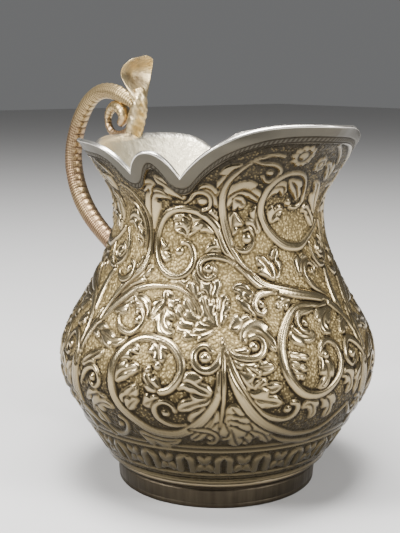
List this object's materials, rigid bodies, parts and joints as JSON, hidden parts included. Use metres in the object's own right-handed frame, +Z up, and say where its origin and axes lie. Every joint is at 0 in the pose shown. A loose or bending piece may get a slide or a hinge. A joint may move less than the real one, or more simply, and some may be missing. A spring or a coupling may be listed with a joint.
{
  "type": "cream jug",
  "caption": "Small round-bellied cream jug with chased foliage, a scalloped flared mouth drawn into a pouring lip, and a serpent handle rising to a hood.",
  "frame": {"origin": "centre of the foot's bearing circle, on the surface that the jug stands on", "axes": "+Z up through the mouth, +X towards the pouring lip, -X towards the handle, XZ is the mirror plane"},
  "size_m": [0.1016, 0.0754, 0.1],
  "materials": {
    "chased_silver": "chased and stippled silver, dark tarnish in the recesses, bright on the high points",
    "plain_silver": "plain silver with vertical finishing marks, dulled",
    "cast_silver": "cast silver with a rosy brown tarnish",
    "worn_gilding": "worn gilding over cast silver"
  },
  "bodies": {
    "root": {"vessel": "chased_silver", "foot_ring": "plain_silver", "foot_wire": "plain_silver", "serpent_handle": "cast_silver", "tail_curl": "cast_silver", "serpent_hood": "worn_gilding"}
  },
  "joints": []
}
